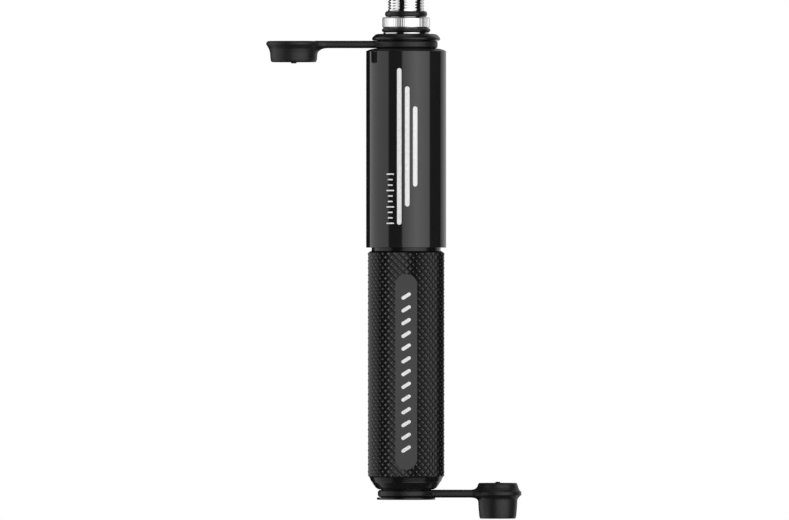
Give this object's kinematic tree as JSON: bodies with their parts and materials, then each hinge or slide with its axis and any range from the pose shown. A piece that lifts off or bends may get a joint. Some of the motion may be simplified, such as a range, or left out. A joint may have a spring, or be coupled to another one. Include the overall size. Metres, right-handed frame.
{
  "type": "mini bicycle pump",
  "caption": "Slim pocket bicycle pump: gloss handle tube over a knurled barrel, hose stored in the hollow piston rod, rubber end caps swung out on straps.",
  "frame": {"origin": "on the pump's axis at the middle of the knurled grip, where a hand or a frame clip holds it", "axes": "+Z along the pump from the outlet end to the hose end, +X towards the lower cap, -X towards the upper cap, -Y out of the grip's smooth panel"},
  "size_m": [0.0702, 0.022, 0.1436],
  "materials": {
    "gloss_black": "high-gloss black anodised aluminium",
    "black_anodised": "black anodised aluminium, finely turned",
    "knurled_black": "black anodised aluminium, diamond knurled",
    "bare_aluminium": "bare turned aluminium",
    "chrome": "polished chrome plate",
    "brass": "turned brass",
    "spring_steel": "bright spring steel",
    "cap_rubber": "soft matt black moulded rubber",
    "seal_rubber": "black nitrile rubber",
    "hose_rubber": "black reinforced hose rubber",
    "bearing_plastic": "natural bearing plastic"
  },
  "bodies": {
    "barrel": {"barrel_tube": "black_anodised", "grip_sleeve": "knurled_black", "outlet_head": "black_anodised", "outlet_head_seal": "seal_rubber", "check_valve_retainer": "brass", "check_valve_spring": "spring_steel", "rod_gland": "black_anodised", "rod_bush": "bearing_plastic", "rod_wiper": "seal_rubber"},
    "valve": {"check_valve_poppet": "seal_rubber"},
    "handle": {"handle_tube": "gloss_black", "handle_neck": "black_anodised", "handle_nut": "bare_aluminium", "handle_bumper": "seal_rubber", "piston_rod": "bare_aluminium", "piston": "bare_aluminium", "piston_seal": "seal_rubber", "piston_guide_ring": "bearing_plastic", "piston_rod_seal": "seal_rubber"},
    "hose": {"schrader_fitting": "chrome", "schrader_grommet": "seal_rubber", "schrader_pin": "brass", "schrader_thread_oring": "seal_rubber", "schrader_store_oring": "seal_rubber", "schrader_ferrule": "chrome", "hose_tube": "hose_rubber", "presta_ferrule": "chrome", "presta_fitting": "chrome", "presta_thread_oring": "seal_rubber", "presta_grommet": "seal_rubber", "bleed_spring": "spring_steel"},
    "bleeder": {"bleed_button": "spring_steel"},
    "upper_ring": {"upper_cap_ring": "cap_rubber"},
    "upper_link_inner": {"upper_strap_inner": "cap_rubber"},
    "upper_link_outer": {"upper_strap_outer": "cap_rubber"},
    "upper_cap_end": {"upper_cap": "cap_rubber"},
    "lower_ring": {"lower_cap_ring": "cap_rubber"},
    "lower_link": {"lower_strap": "cap_rubber"},
    "lower_cap_end": {"lower_cap": "cap_rubber", "lower_cap_plug": "cap_rubber"}
  },
  "joints": [
    {"name": "handle_stroke", "type": "slide", "parent": "barrel", "child": "handle", "axis": [0, 0, 1], "range_m": [0, 0.085]},
    {"name": "hose_pull", "type": "slide", "parent": "handle", "child": "hose", "axis": [0, 0, 1], "range_m": [0, 0.125]},
    {"name": "check_valve_lift", "type": "slide", "parent": "barrel", "child": "valve", "axis": [0, 0, -1], "range_m": [0, 0.0008], "stiffness_N_per_m": 60, "deforming": ["check_valve_spring"]},
    {"name": "bleed_press", "type": "slide", "parent": "hose", "child": "bleeder", "axis": [0, 1, 0], "range_m": [0, 0.0008], "stiffness_N_per_m": 500, "deforming": ["bleed_spring"]},
    {"name": "upper_cap_swivel", "type": "hinge", "parent": "handle", "child": "upper_ring", "pos_m": [0, 0, 0.08825], "axis": [0, 0, 1], "continuous": true},
    {"name": "upper_strap_fold", "type": "hinge", "parent": "upper_ring", "child": "upper_link_inner", "pos_m": [-0.00964, 0, 0.08825], "axis": [0, 1, 0], "range_deg": [0, 60], "stiffness_Nm_per_rad": 0.008},
    {"name": "upper_strap_fold_middle", "type": "hinge", "parent": "upper_link_inner", "child": "upper_link_outer", "pos_m": [-0.01545, 0, 0.08825], "axis": [0, 1, 0], "range_deg": [0, 60], "stiffness_Nm_per_rad": 0.008},
    {"name": "upper_strap_fold_outer", "type": "hinge", "parent": "upper_link_outer", "child": "upper_cap_end", "pos_m": [-0.02126, 0, 0.08825], "axis": [0, 1, 0], "range_deg": [0, 60], "stiffness_Nm_per_rad": 0.008},
    {"name": "lower_cap_swivel", "type": "hinge", "parent": "barrel", "child": "lower_ring", "pos_m": [0, 0, -0.03527], "axis": [0, 0, 1], "continuous": true},
    {"name": "lower_strap_fold", "type": "hinge", "parent": "lower_ring", "child": "lower_link", "pos_m": [0.01095, 0, -0.03527], "axis": [0, 1, 0], "range_deg": [0, 90], "stiffness_Nm_per_rad": 0.008, "deforming": ["lower_cap_plug"]},
    {"name": "lower_strap_fold_outer", "type": "hinge", "parent": "lower_link", "child": "lower_cap_end", "pos_m": [0.01425, 0, -0.03527], "axis": [0, 1, 0], "range_deg": [0, 90], "stiffness_Nm_per_rad": 0.008}
  ],
  "couplings": [
    {"joint": "upper_strap_fold_middle", "follows": "upper_strap_fold", "ratio": 1},
    {"joint": "upper_strap_fold_outer", "follows": "upper_strap_fold", "ratio": 1},
    {"joint": "lower_strap_fold_outer", "follows": "lower_strap_fold", "ratio": 1}
  ]
}
